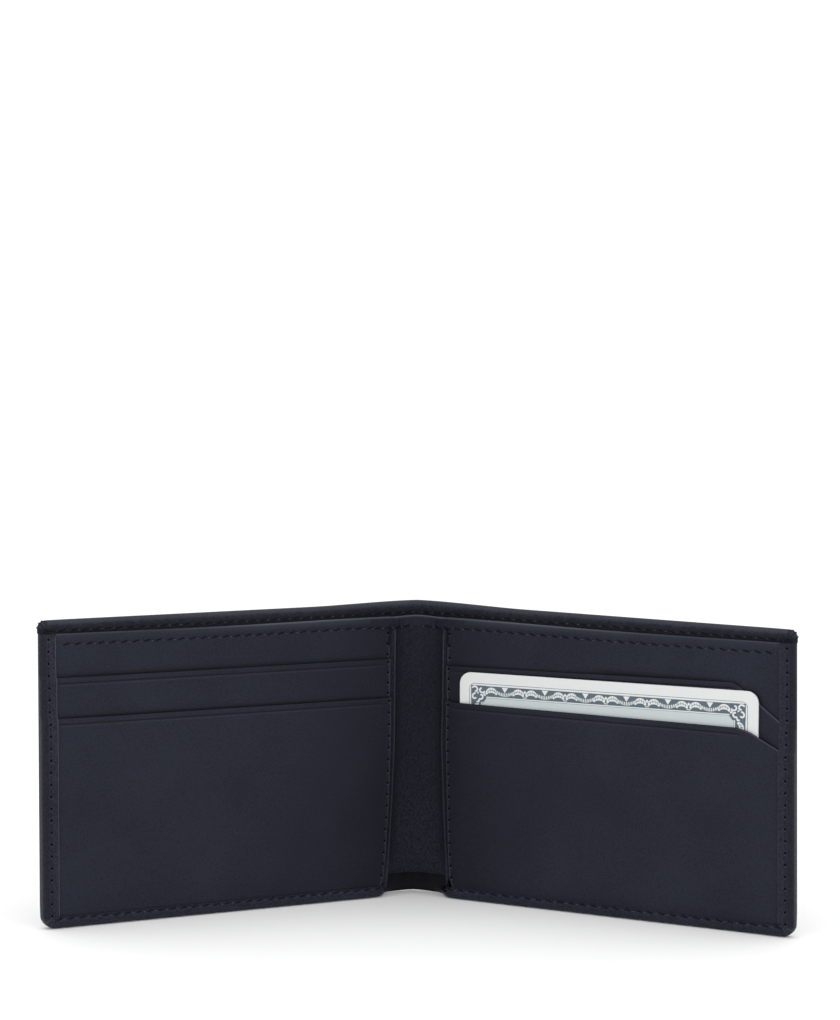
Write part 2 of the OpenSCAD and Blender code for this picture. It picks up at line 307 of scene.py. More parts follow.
def slab(name, side, a, b, place, thick, shade=None, wear_and_highlight=None, centred=False):
    """A sheet with round edges. place(a, b, depth) gives a point at a depth behind the front face, shade
    gives the face's painted shade, and the pale level its rubbing and painted highlights. A centred sheet
    has no edge at the start of a, where it meets its mirror image."""
    A, B = np.meshgrid(a, b, indexing="ij")
    r = (thick(A, B) if callable(thick) else np.full(A.shape, float(thick))) / 2
    edge = np.minimum(a[-1] - A, np.minimum(B - b[0], b[-1] - B))
    if not centred:
        edge = np.minimum(edge, A - a[0])
    inside = r - np.minimum(edge, r)
    drop = r - np.sqrt(np.maximum(r**2 - inside**2, 0))
    sheets = [place(A, B, drop), place(A, B, 2 * r - drop)]
    faces = [grid_faces(*A.shape), grid_faces(*A.shape, start=A.size)[:, ::-1]]
    if centred:
        j = np.arange(len(b) - 1)
        faces.append(np.stack([j, j + 1, j + 1 + A.size, j + A.size], -1))
    worn_and_highlit, dark = [np.zeros(A.size) if level is None else level(A, B).ravel() for level in (wear_and_highlight, shade)]
    return link_mesh(name, np.concatenate([sheet.reshape(-1, 3) for sheet in sheets]), np.concatenate(faces),
                     side, wear_and_highlight=np.concatenate([worn_and_highlit, worn_and_highlit * 0.3]), shade=np.tile(dark, 2))


# --- The stack of a leaf ---

# Places of the sheets' inner edges on a leaf, from the bottom to the top
INNER_Z = [3, 6, 12, 25, 42, 54, 58, 72, 78]
INNER_U = {
    "left": [1.6, 0.9, 0.4, -0.35, -0.7, -0.75, -0.75, -0.85, -0.85],
    "right": [3.4, 2.6, 2.05, 1.55, 0.8, 0.65, 0.1, -0.2, -0.3],
}
# Places of the soft strip's fold, which stands inside the sheets' edges
FOLD_Z = [3, 12, 25, 42, 58, 72]
FOLD_U = {
    "left": [-0.6, -1.6, -2.25, -2.85, -2.75, -2.7],
    "right": [1.3, 0.3, -0.6, -1.45, -1.45, -1.5],
}


def inner_edge(z, side):
    """Where the sheets' inner edge lies at a height: the stitched edges wander and spread at the foot."""
    return np.interp(z, INNER_Z, INNER_U[side])


def fold_s(z, side):
    """Place of the soft strip's fold, along its plan curve."""
    return STRIP_PLAN.s_at(np.interp(z, FOLD_Z, FOLD_U[side]))


def leaf_u(a, z, side):
    """Place along a leaf of a point of a sheet, which is stretched from its inner edge."""
    return a + inner_edge(z, side) * (1 - smooth(a, 0, 30))


def pinch(u, z, clear_z=9.5):
    """1 where a seam squeezes the stack, 0 in the open field of a pocket, from clear_z upwards."""
    return 1 - (1 - smooth(u, 90, 97)) * smooth(z, 2.5, clear_z) * (0.55 + 0.45 * smooth(u, 0, 5.5))


def pocket_drop(u, start, r, angle):
    """How far a curved pocket's edge lies below its straight part."""
    bend = np.arcsin(np.clip((u - start) / r, 0, math.sin(angle)))
    return r * (1 - np.cos(bend)) + np.maximum(u - start - r * math.sin(angle), 0) * math.tan(angle)


def rear_drop(u):
    return pocket_drop(u, 82.6, 3, math.radians(38))


def front_drop(u):
    return pocket_drop(u, 84.0, 12, math.radians(30))


def no_drop(u):
    return np.zeros_like(u)


# The pressed crease below a pocket's lip: how far below, and where along the leaf it ends
CREASE = 1.6
CREASE_END = {"left": 95.5, "right": 85.0}


def crease_span(a, side):
    """1 along the crease, fading at its ends."""
    return between(a, 2.5, CREASE_END[side], 1.5)


def pocket_place(side, top, base_v, lean, drop, card_relief=0.0, bottom_pinch=0.95, tilt=(0.0, 0.0)):
    """Where a pocket's leather lies: pressed at its seams, creased below its top edge. tilt lifts the
    top edge at its inner and its outer end. A pocket with a card leaves room for it down to the seam."""
    clear_z = 4.2 if card_relief else 9.5

    def place(a, b, depth):
        u = leaf_u(a, b, side)
        z = b + (tilted(tilt, u) - drop(u)) * np.clip((b - top + 40) / 40, 0, 1)
        v = base_v + (bottom_pinch - base_v) * pinch(u, z, clear_z) + lean * smooth(b, top - 12, top)
        v = v + 0.1 * bump(b, top - CREASE, 0.26) * crease_span(u, side)
        card_room = card_relief * between(u, 5.6, 90.6, 0.9) * smooth(z, 3.2, 4.0)
        v = v - card_room * (1 - 0.3 * smooth(b, top - 6, top))
        sag = 0.1 * np.sin(u / 31 + 0.6) * np.sin(z / 17 + 0.3)
        v = v - sag * (1 - pinch(u, z)) * (1 - smooth(b, top - 8, top))
        return leaf_point(u, v + depth, z)
    return place


def spine_shade(a):
    """Painted shade: the sheets darken towards the spine, where the two leaves shade each other."""
    return 0.42 * (1 - smooth(a, -2, 26)) + 0.1 * (1 - smooth(a, 20, 60))


def pocket_shade(top, side, behind=None):
    """Painted shade along a pocket's lip, in the crease below it, and where behind says."""
    def shade(a, b):
        crease = 0.85 * bump(b, top - CREASE, 0.2) * crease_span(a, side)
        lip = 0.7 * (b > top - 0.15) * (1 - 0.8 * smooth(a, 84, 88))
        dark = np.maximum(np.maximum(lip, crease), spine_shade(a))
        return dark if behind is None else np.maximum(dark, behind(a, b))
    return shade


def pocket_highlight(top, side):
    """Painted highlights: a pale inner edge, a paler lower side of the crease and, on the right, a paler end
    of the lip.
    """
    def wear_and_highlight(a, b):
        crease = 0.1 * bump(b, top - 2.05, 0.2) * crease_span(a, side)
        lip = (0.5 if side == "right" else 0.0) * (b > top - 0.3) * smooth(a, 84, 88)
        return np.maximum(0.8 * bump(a, 0.1, 0.38), np.maximum(crease, lip))
    return wear_and_highlight


def behind_shade(line, fade=0.0):
    """Painted shadow on a sheet where a pocket's mouth opens in front of it, over the painted shade towards
    the spine. line is or gives the mouth's height.
    """
    def shade(a, b):
        z = line(a) if callable(line) else line
        near = 0.9 * (1 - smooth(b, z + 0.05, z + 0.5)) + 0.12 * (1 - smooth(b, z + 0.5, z + 3))
        near = near * (1 - fade * smooth(a, 75, 84))
        return np.maximum(near, spine_shade(a))
    return shade


REAR_TILT = (-0.9, 1.5)
FRONT_TILT = (0.1, 0.0)


def tilted(tilt, u):
    """How far a pocket's mouth is lifted at a place along the leaf."""
    return tilt[0] + (tilt[1] - tilt[0]) * u / STACK_U


def front_mouth(a):
    return FRONT_TOP + tilted(FRONT_TILT, a) - front_drop(a)


def rear_mouth(a):
    return REAR_TOP + tilted(REAR_TILT, a) - rear_drop(a)


def panel_place(side, a, b, depth):
    u = leaf_u(a, b, side)
    v = PANEL_V + 0.06 * bump(b, HEM_LINE_Z, 0.5) - 0.12 * smooth(u, 92, 97)
    v = v - 0.05 * np.sin(u / 23) * smooth(b, UPPER_TOP, UPPER_TOP + 3) * (1 - smooth(b, 72, 75))
    v = v - 0.05 * np.cos(u / 7.3 + 1) * bump(b, PANEL_TOP, 1.5)
    z = b + 0.14 * np.sin(u / 15 + 1.2) * smooth(b, 70, PANEL_TOP)
    return leaf_point(u, v + depth, z)


def panel_thick(a, b):
    return PANEL_T + HEM_T * smooth(b, PANEL_HEM_Z - 0.2, PANEL_HEM_Z + 0.4)


# --- The cover ---

RIM_R = 1.45
BACK_BAND = 8.0
STRIP_U = 97.0
STRIP_DEPTH = 5.0
TOP_DEPTH = 1.5
TOP_GAP = WALLET_H - PANEL_TOP
TOP_HEM_W = WALLET_H - COVER_HEM_Z
CUT_R = 0.22
# The cut edges' paleness stands for rubbing and a painted highlight.
CUT_WEAR_AND_HIGHLIGHT = 1.0
SEAM_PRESS = 0.13
RECESS_H = 4.0
RECESS_DEPTH = 1.35
# Strength of the painted highlight on the rounded rim of the bottom and the sides.
RIM_HIGHLIGHT = {"bottom": 2.0, "side": 0.4}


def strip_steps(side):
    """Heights at which the side strip steps back from one pocket to the next."""
    if side == "left":
        return LOWER_TOP, UPPER_TOP
    return FRONT_TOP - front_drop(STRIP_U), REAR_TOP - rear_drop(STRIP_U)


def side_depth(z, side):
    """Depth of the side strip's face in front of the cover's back."""
    first, second = strip_steps(side)
    depth = STRIP_DEPTH - 0.75 * smooth(z, first - 0.6, first + 0.9)
    depth = depth - 0.65 * smooth(z, second - 0.6, second + 0.9)
    return depth - 2.05 * smooth(z, PANEL_TOP - 0.05, PANEL_TOP + 0.4)


def bottom_depth(s):
    """Depth of the bottom strip's face: close to the cover at the spine, over the stack at a leaf."""
    over = smooth(s, COVER_PLAN.s_at(-3.4), COVER_PLAN.s_at(3.0))
    return 1.5 + (3.5 + COVER_PLAN.bulge(s)) * over


def behind_strip(s, side):
    """1 where the cover's bottom edge lies behind the spine strip, 0 on the leaf."""
    end = COVER_PLAN.s_at(FOLD_U[side][0])
    return 1 - smooth(s, end - 0.2, end + 0.7)


def back_dent(s, z):
    """How far the cover's back comes forward where the seams press it."""
    dent = 0.6 * smooth(s, S_MAX - 9, S_MAX - 1.5) + 0.4 * (1 - smooth(z, 1, 7)) * smooth(s, 6, 14)
    dent = dent + 0.1 * (bump(z, WALLET_H - HEM_SEAM, 0.5) + bump(z, BOTTOM_SEAM, 0.5))
    dent = dent + 0.1 * bump(s, S_MAX - SIDE_SEAM, 0.5)
    dent = dent + 0.16 * np.sin(s / 19) * np.sin(z / 21 + 0.4) * smooth(s, 4, 20)
    return dent


def cover_point(s, z, w, front):
    """Points of the cover at a depth w, given the depth of its front face there."""
    arch = 0.1 * (1 - smooth(s, 1, 9)) * (1 - smooth(z, 0.5, 6))
    arch = arch + 0.35 * (1 - smooth(s, 2, 36)) * smooth(z, PANEL_TOP + 1, WALLET_H)
    share = np.clip(1 - w / np.maximum(front, 0.01), 0, 1)
    return COVER_PLAN.point(s, w + back_dent(s, z) * share, z + arch)


def outline_place(kind, c, d, limit_s, limit_z, limit_top):
    """Where a column of the rim lies at a distance d inside the outline. The limits are the mitres."""
    r = CORNER_R
    if kind == "bottom":
        return min(c, S_MAX - max(r, limit_s)), d
    if kind == "top":
        return min(c, S_MAX - max(r, limit_s)), WALLET_H - d
    if kind == "side":
        return S_MAX - d, min(max(c, max(r, limit_z)), WALLET_H - max(r, limit_top))
    flip = kind == "top_corner"
    if d < r:
        power = 0.72 if flip else 1.2
        s, z = S_MAX - r + (r - d) * math.sin(c) ** power, r - (r - d) * math.cos(c) ** power
    else:
        s, z = S_MAX - limit_s, limit_top if flip else limit_z
    return s, (WALLET_H - z if flip else z)


def rim_columns(s_lines, z_lines):
    """Columns of the rim, from the spine along the bottom, up the side and back along the top."""
    arc = np.radians(np.linspace(0, 90, 19))[1:-1]
    columns = [("bottom", s) for s in s_lines if s <= S_MAX - CORNER_R]
    columns += [("corner", a) for a in arc]
    columns += [("side", z) for z in z_lines if CORNER_R <= z <= WALLET_H - CORNER_R]
    columns += [("top_corner", a) for a in arc[::-1]]
    columns += [("top", s) for s in s_lines[::-1] if s <= S_MAX - CORNER_R]
    return columns


def rim_row_list():
    """Rows of the rim's profile, from the back, round the edge and over the front to the cut edge."""
    rows = [("back", x) for x in np.linspace(1, 0, 9)]
    rows += [("round_back", a) for a in QUARTER[1:]]
    rows += [("wall", x) for x in (0.33, 0.67)]
    rows += [("round_front", a) for a in QUARTER]
    rows += [("face", x) for x in (0.12, 0.25, 0.36, 0.44, 0.5, 0.56, 0.62, 0.7, 0.8, 0.9, 1.0)]
    rows += [("cut", a) for a in QUARTER[1:]]
    rows += [("tuck", 0.0)]
    return rows


def rim_profile(row, front, extent):
    """Distance inside the outline and depth of one row of the profile, and its paleness, for rubbed cut
    edges and painted highlights on the rounded rim.
    """
    name, x = row
    r = min(RIM_R, front / 2)
    if name == "back":
        return RIM_R + (BACK_BAND - RIM_R) * x, 0.0, 0.0
    if name == "round_back":
        return r * (1 - math.sin(x)), r * (1 - math.cos(x)), 0.04
    if name == "wall":
        return 0.0, r + (front - 2 * r) * x, 0.08
    if name == "round_front":
        return r * (1 - math.cos(x)), front - r * (1 - math.sin(x)), 0.1 - 0.1 * math.sin(x)
    if name == "face":
        return r + (extent - CUT_R - r) * x, front, 0.0
    if name == "cut":
        return extent - CUT_R * (1 - math.sin(x)), front - CUT_R * (1 - math.cos(x)), CUT_WEAR_AND_HIGHLIGHT
    return extent - 0.02, front - 0.45, CUT_WEAR_AND_HIGHLIGHT / 2


def cover_lines(side):
    """Grid lines of the cover along its length and up its height, close together at the rim."""
    inner, outer = S_MAX - BACK_BAND, S_MAX - CORNER_R
    low, high = WALLET_H - BACK_BAND, WALLET_H - CORNER_R
    s_spots = [np.arange(0, 12, 0.5), np.arange(12, inner, 1.25), np.arange(inner + 0.5, outer, 0.5)]
    z_spots = [np.arange(CORNER_R + 0.4, BACK_BAND, 0.5), np.arange(BACK_BAND, low, 1.25),
               np.arange(low + 0.5, high, 0.5), PANEL_TOP + np.arange(-0.4, 1.2, 0.15)]
    z_spots += [step + np.arange(-1, 1.4, 0.2) for step in strip_steps(side)]
    return [np.unique(np.round(np.concatenate(spots), 4))
            for spots in (s_spots + [[inner, outer]], z_spots + [[CORNER_R, BACK_BAND, low, high]])]


def column_shape(kind, c, side):
    """A rim column's depth in front, how far its strip reaches in, its mitre at the top, and its cut edge's
    paleness, for rubbing and a painted highlight.
    """
    if kind == "bottom":
        extent = BOTTOM_STRIP_W + RECESS_H * behind_strip(c, side)
        return bottom_depth(c), extent, TOP_GAP, 0.12
    if kind == "side":
        return side_depth(c, side), SIDE_STRIP_W, TOP_GAP, 1.0 if side == "left" else 0.35
    if kind == "top":
        return TOP_DEPTH, TOP_HEM_W, TOP_HEM_W, 1.0
    if kind == "corner":
        extent = BOTTOM_STRIP_W + (SIDE_STRIP_W - BOTTOM_STRIP_W) * math.sin(c)
        return STRIP_DEPTH, extent, TOP_GAP, 0.5
    extent = SIDE_STRIP_W + (TOP_HEM_W - SIDE_STRIP_W) * math.cos(c)
    return TOP_DEPTH, extent, TOP_GAP + (TOP_HEM_W - TOP_GAP) * math.cos(c), 1.0


def rim_point(kind, c, row, side):
    """A point of the rim, with its paleness for rubbing and painted highlights, and its painted shade."""
    front, extent, reach, cut_wear_and_highlight = column_shape(kind, c, side)
    d, w, worn_and_highlit = rim_profile(row, front, extent)
    name = row[0]
    on_front = name in ("face", "cut", "tuck")
    limits = [d, d, d]
    if on_front:
        share = (d - RIM_R) / max(extent - RIM_R, 0.1)
        limits = [RIM_R + (width - RIM_R) * share for width in (SIDE_STRIP_W, BOTTOM_STRIP_W, reach)]
    s, z = outline_place(kind, c, d, *limits)
    w = w + rim_relief(kind, c, d, s, z, name)
    if kind == "bottom" and on_front:
        w = w - (front - RECESS_DEPTH) * recessed(c, d, side)
    worn_and_highlit *= cut_wear_and_highlight if name in ("cut", "tuck") else RIM_HIGHLIGHT.get(kind, 1.0)
    point = cover_point(s, z, w, front)
    return point, max(worn_and_highlit, fold_highlight(kind, c, d, z, name)), rim_shade(kind, c, d, z, name, side)


def build_cover(side):
    """One half of the cover: its back, its rim and the strips turned in over the front."""
    s_lines, z_lines = cover_lines(side)
    columns, rows = rim_columns(s_lines, z_lines), rim_row_list()
    rim = [rim_point(kind, c, row, side) for kind, c in columns for row in rows]
    points, wear_and_highlight, shade = [np.array(part, float) for part in zip(*rim)]
    back_s = s_lines[s_lines <= S_MAX - BACK_BAND + 0.01]
    back_z = z_lines[(z_lines >= BACK_BAND - 0.01) & (z_lines <= WALLET_H - BACK_BAND + 0.01)]
    S, Z = np.meshgrid(back_s, back_z, indexing="ij")
    back = cover_point(S, Z, np.zeros_like(S), np.full(S.shape, STRIP_DEPTH))
    rim_faces = grid_faces(len(columns), len(rows))
    cover = link_mesh("cover_shell_" + side, np.concatenate([points, back.reshape(-1, 3)]),
                      np.concatenate([rim_faces, grid_faces(*S.shape, start=len(rim))]), side,
                      wear_and_highlight=np.append(wear_and_highlight, np.zeros(S.size)), shade=np.append(shade, np.zeros(S.size)))
    face_outwards(cover)
    thicken(cover, SKIN_T * MM)
    return cover


def recessed(s, d, side):
    """1 where the turned-in bottom edge drops back behind the spine strip."""
    low = smooth(d, 1.0, 1.9) * behind_strip(s, side)
    return np.maximum(low, smooth(d, BOTTOM_STRIP_W, BOTTOM_STRIP_W + 0.3))


def top_folds(c, z):
    """The turned top edge's uneven folds, from -1 to 1."""
    return math.sin(c * 2.3 + 0.8 * math.sin(c * 0.7)) * math.sin(c * 0.9 + 2 + z)


def rim_shade(kind, c, d, z, row, side):
    """Painted shade on the rim: under the spine strip, on the bottom strip's cut edge and the sides' wall,
    and at the foot and in the folds of the top band."""
    front = row in ("face", "cut", "tuck", "round_front")
    if kind == "bottom":
        middle = 1 - smooth(c, COVER_PLAN.s_at(-4.6), COVER_PLAN.s_at(-2.2))
        deep = smooth(d, 0.9, 1.7) * behind_strip(c, side)
        foot = 0.5 * middle * (row == "wall")
        if front:
            foot = max(0.97 * middle * smooth(d, -0.1, 0.4), 0.97 * deep)
        return max(foot, 0.5 * (row in ("cut", "tuck")))
    if kind == "side" and row in ("wall", "round_front", "round_back"):
        return 0.45
    if front and kind in ("top", "top_corner", "side"):
        foot = 0.85 * (1 - smooth(z, PANEL_TOP + 0.7, PANEL_TOP + 2.3)) * smooth(z, 76.5, 77.4)
        if kind == "top":
            foot = max(foot, 0.55 * abs(top_folds(c, z)) * smooth(d, 0.7, 1.4))
        return foot
    return 0.0


def fold_highlight(kind, c, d, z, row):
    """Painted highlights on the rim: the pleats of the corners, the side strip's own end and the top roll.
    """
    if row not in ("face", "round_front", "wall"):
        return 0.0
    if kind == "corner":
        return 0.4 * (bump(c, 0.42, 0.09) + bump(c, 1.12, 0.09)) * (1 - smooth(d, 1.6, 2.6))
    if kind == "top_corner":
        return 0.3 * (bump(c, 0.5, 0.1) + bump(c, 1.2, 0.1)) * (1 - smooth(d, 1.2, 2.2))
    if kind == "side" and row == "face":
        return 0.6 * bump(z, PANEL_TOP - 0.05, 0.25)
    if kind == "top":
        return 0.33 * (1 - smooth(d, 0.7, 1.5))
    return 0.0


def strip_swell(c, d):
    """The slow swelling of a strip along its length."""
    return 0.05 * np.sin(c * 1.7) * smooth(d, 1.5, 3)


def rim_relief(kind, c, d, s, z, row):
    """Small relief of the rim: seam channel, pleats at the corners, and creases of the turned edge."""
    relief = 0.0
    if row in ("face", "cut", "tuck"):
        inset = {"bottom": BOTTOM_SEAM, "top": HEM_SEAM}.get(kind, SIDE_SEAM)
        relief -= SEAM_PRESS * bump(d, inset, 0.4)
        if kind in ("bottom", "top", "side"):
            relief += strip_swell(c, d)
    if kind == "top" and row in ("face", "round_front"):
        relief += 0.12 * top_folds(c, z) * smooth(d, 0.4, 1.2) * (1 - bump(d, HEM_SEAM, 0.7))
    if kind in ("corner", "top_corner") and row != "back":
        depth = 0.16 if row in ("face", "round_front", "wall") else 0.06
        relief += depth * math.sin(c * 13) * math.sin(c * 2) * bump(d, 0.9, 1.1)
    return relief


def face_outwards(piece):
    """Turns the faces so that the cover's back looks backwards."""
    mesh = piece.data
    total = sum((face.normal * face.area for face in mesh.polygons), Vector())
    if total.y < 0:
        mesh.flip_normals()


def thicken(piece, thickness):
    """Gives a skin its thickness, inwards, and keeps the result as the piece's own mesh."""
    solidify = piece.modifiers.new("thickness", "SOLIDIFY")
    solidify.thickness = thickness
    solidify.offset = -1
    bpy.context.view_layer.update()
    graph = bpy.context.evaluated_depsgraph_get()
    final = bpy.data.meshes.new_from_object(piece.evaluated_get(graph))
    final.set_sharp_from_angle(angle=SHARP)
    piece.modifiers.clear()
    piece.data = final


# --- Stitches ---

THREAD_R = 0.18
THREAD_ALONG = np.array([0.07, 0.1, 0.17, 0.3, 0.5, 0.7, 0.83, 0.9, 0.93])
THREAD_LIFT = np.array([-0.28, -0.08, 0.06, 0.13, 0.15, 0.13, 0.06, -0.08, -0.28])
THREAD_SIDES = 8
GLINT_OFF = 0.14
# Places in (THREAD, the needle holes' painted shade, the painted glints beside them, SUNK)
DASH_MARK, HOLE_SHADE_MARK, GLINT_MARK, SUNK_MARK = 0, 1, 2, 3


class SeamMesh:
    """Threads, needle holes drawn as discs of painted shade, and the small painted glints beside them, as
    one mesh.
    """

    def __init__(self):
        self.points, self.faces, self.marks, self.count = [], [], [], 0

    def rings(self, rings, mark):
        """Joins closed rings of equal size, and closes both ends."""
        n, start = len(rings[0]), self.count
        self.points += rings
        self.count += n * len(rings)
        for k in range(len(rings) - 1):
            a = start + k * n
            for m in range(n):
                self.faces.append((a + m, a + (m + 1) % n, a + n + (m + 1) % n, a + n + m))
        last = start + (len(rings) - 1) * n
        self.faces.append(tuple(start + m for m in range(n))[::-1])
        self.faces.append(tuple(last + m for m in range(n)))
        self.marks += [mark] * (n * (len(rings) - 1) + 2)


def route_frame(route, x):
    """Places on a route and the directions along it, out of the leather and across it."""
    here = route(x, 0.0)
    along = route(x + 0.05, 0.0) - route(x - 0.05, 0.0)
    along /= np.linalg.norm(along, axis=-1, keepdims=True)
    up = route(x, 1.0) - here
    up -= along * np.sum(up * along, -1, keepdims=True)
    up /= np.linalg.norm(up, axis=-1, keepdims=True)
    return here, along, up, np.cross(along, up)


def add_thread(mesh, route, start, end, sunk, turn):
    """One stitch between two holes: a sunk one deep in its channel, another shorter and more aslant."""
    share = THREAD_ALONG if sunk else 0.5 + (THREAD_ALONG - 0.5) * 0.7
    x = start + (end - start) * share
    here, along, up, across = route_frame(route, x)
    radius, lower = (0.13, 0.13) if sunk else (THREAD_R, 0.04)
    slant = (THREAD_ALONG - 0.5) * (0.1 if sunk else 0.6)
    centre = here + up * (THREAD_LIFT - lower)[:, None] + across * slant[:, None]
    ring = np.linspace(0, 2 * math.pi, THREAD_SIDES, endpoint=False)
    rings = []
    for k in range(len(x)):
        squeeze = radius * (1 + 0.16 * np.cos(2 * (ring - THREAD_ALONG[k] * 7.0 - turn)))
        rings.append(centre[k] + np.outer(squeeze * np.cos(ring), across[k])
                     + np.outer(squeeze * 0.85 * np.sin(ring), up[k]))
    mesh.rings(rings, SUNK_MARK if sunk else DASH_MARK)


def ovals(centre, along, up, across, size, steps):
    """Closed ovals round a centre. steps gives each one's share of the size, and its lift."""
    ring = np.linspace(0, 2 * math.pi, 10, endpoint=False)
    x, y = np.cos(ring) * size[0], np.sin(ring) * size[1]
    return [centre + (np.outer(x * share, along) + np.outer(y * share, across)) + up * lift
            for share, lift in steps]


def add_hole(mesh, here, along, up, across, sunk):
    """A needle hole, drawn as a dark disc of painted shade, and a painted glint beside it."""
    if sunk:
        size, proud, glint, beside = (0.36, 0.27), 0.1, (0.15, 0.13), here - along * 0.55
    else:
        size, proud, glint = (0.2, 0.15), 0.04, (0.19, 0.13)
        beside = here + along * 0.1 + across * GLINT_OFF
    steps = (1.0, -0.1), (1.0, proud), (0.7, proud - 0.02), (0.35, proud - 0.04)
    mesh.rings(ovals(here, along, up, across, size, steps), HOLE_SHADE_MARK)
    steps = (1.0, -0.06), (0.85, 0.06), (0.4, 0.11)
    mesh.rings(ovals(beside, along, up, across, glint, steps), GLINT_MARK)


def add_seam(mesh, route, holes, sunk):
    """The threads and the needle holes of one seam."""
    c = np.asarray(holes, float)
    for i in range(len(c) - 1):
        add_thread(mesh, route, c[i], c[i + 1], sunk, i)
    for here, along, up, across in zip(*route_frame(route, c)):
        add_hole(mesh, here, along, up, across, sunk)


def stitches(name, side, nodes, *seams):
    """One object with the stitches of several seams: a route, the places of its holes, and if it is sunk."""
    mesh = SeamMesh()
    for seam in seams:
        add_seam(mesh, *seam)
    piece = link_mesh(name, np.concatenate(mesh.points), mesh.faces, side, marks=mesh.marks)
    dress(piece, "thread", nodes, THREAD, HOLE_SHADE, HOLE_GLINT, SUNK)
    return piece


def hole_places(lo, hi):
    """Places of the needle holes between two ends."""
    count = int(round((hi - lo) / STITCH_PITCH))
    return np.linspace(lo, hi, count + 1)


# --- Materials ---

class Nodes:
    """A material being made. An input given as another node's output is linked, any other is set."""

    def __init__(self, name):
        self.material = bpy.data.materials.new(name)
        self.material.use_nodes = True
        self.tree = self.material.node_tree
        self.tree.nodes.clear()
        self.shader = self.add("BsdfPrincipled")
        self.add("OutputMaterial", {0: self.shader.outputs[0]})
        self.place = self.add("TexCoord").outputs["Object"]

    def put(self, node, inputs):
        for key, value in inputs.items():
            if isinstance(value, bpy.types.NodeSocket):
                self.tree.links.new(value, node.inputs[key])
            else:
                node.inputs[key].default_value = value

    def add(self, kind, inputs=None, **settings):
        node = self.tree.nodes.new("ShaderNode" + kind)
        for key, value in settings.items():
            setattr(node, key, value)
        self.put(node, inputs or {})
        return node

    def noise(self, place, scale, detail=2):
        return self.add("TexNoise", {"Vector": place, "Scale": scale, "Detail": detail}).outputs["Fac"]

    def spread(self, value, to_min, to_max, from_min=0.0, from_max=1.0):
        """Stretches a value from one range to another."""
        ends = {"From Min": from_min, "From Max": from_max, "To Min": to_min, "To Max": to_max}
        return self.add("MapRange", {"Value": value, **ends}).outputs[0]

    def mix(self, factor, first, second, blend="MIX"):
        """Mixes two colours. 6 and 7 are the node's colour inputs, and 2 is its colour output."""
        inputs = {"Factor": factor, 6: first, 7: second}
        return self.add("Mix", inputs, data_type="RGBA", blend_type=blend).outputs[2]

    def level(self, title):
        """A level that the mesh carries at its points."""
        return self.add("Attribute", attribute_name=title).outputs["Fac"]

    def relief(self, height, distance, invert=False, **over):
        inputs = {"Height": height, "Distance": distance, **over}
        return self.add("Bump", inputs, invert=invert).outputs[0]

    def finish(self, colour, roughness, specular, normal):
        self.put(self.shader, {"Base Color": colour, "Roughness": roughness, "Normal": normal,
                               "Specular IOR Level": specular})
        return self.material


def leather(name, colour, worn_and_highlit, grain_mm, grain_depth, roughness, mottle, specular, stretch=(1, 1, 1)):
    """Grained leather: pebbles and pores in the bump, a slow change of tone, a pale colour for rubbed edges
    and painted highlights, and painted shade.
    """
    nodes = Nodes(name)
    grain = grain_mm * MM
    scaled = nodes.add("Mapping", {"Vector": nodes.place, "Scale": stretch}).outputs[0]
    voronoi = {"Vector": scaled, "Scale": 1 / grain, "Smoothness": 0.6}
    pebbles = nodes.add("TexVoronoi", voronoi, feature="SMOOTH_F1").outputs["Distance"]
    pores = nodes.noise(scaled, 2.2 / grain, 3)
    tone = nodes.spread(nodes.noise(nodes.place, 45, 4), 0.86, 1.14, 0.3, 0.7)
    toned = nodes.mix(1, (*colour, 1), tone, "MULTIPLY")
    deep = nodes.spread(pebbles, 1 + mottle, 1 - 1.7 * mottle, 0.0, 0.75)
    grained = nodes.mix(1, toned, deep, "MULTIPLY")
    # The pale colour stands for rubbed edges and painted highlights, where the mesh's pale level says.
    wear_and_highlight_share = nodes.add("Math", {0: nodes.level("wear_and_highlight"), 1: tone}, operation="MULTIPLY").outputs[0]
    worn_and_highlit_colour = nodes.mix(wear_and_highlight_share, grained, (*worn_and_highlit, 1))
    # Painted shade: the shade level mixes the colour towards a near-black copy of it.
    shaded = nodes.mix(nodes.level("shade"), worn_and_highlit_colour, (*[0.12 * part for part in colour], 1))
    gloss = nodes.spread(pores, roughness - 0.06, roughness + 0.08)
    coarse = nodes.relief(pebbles, grain_depth * MM, invert=True)
    fine = nodes.relief(pores, grain_depth * 0.6 * MM, Normal=coarse)
    return nodes.finish(shaded, gloss, specular, fine)


def cloth(name, colour, thread_mm):
    """Twill lining: slanting ribs in tone and bump."""
    nodes = Nodes(name)
    turn = nodes.add("Mapping", {"Vector": nodes.place, "Rotation": (0.0, math.radians(35), 0.0)}).outputs[0]
    wave = {"Vector": turn, "Scale": 0.32 / (thread_mm * MM), "Distortion": 0.4, "Detail": 1}
    ribs = nodes.add("TexWave", wave, wave_type="BANDS", bands_direction="X").outputs["Fac"]
    toned = nodes.mix(1, (*colour, 1), nodes.spread(ribs, 0.6, 1.2), "MULTIPLY")
    rough = nodes.spread(nodes.noise(nodes.place, 900), 0.7, 0.95)
    return nodes.finish(toned, rough, 0.25, nodes.relief(ribs, 0.05 * MM))


def plain(name, colour, spread, scale, roughness, depth, specular):
    """A simple finish with mottled tone, uneven gloss and a fine bump."""
    nodes = Nodes(name)
    noise = nodes.noise(nodes.place, scale, 4)
    toned = nodes.mix(1, (*colour, 1), nodes.spread(noise, 1 - spread, 1 + spread), "MULTIPLY")
    rough = nodes.spread(noise, max(roughness - 0.08, 0.02), min(roughness + 0.08, 1))
    return nodes.finish(toned, rough, specular, nodes.relief(noise, depth * MM))


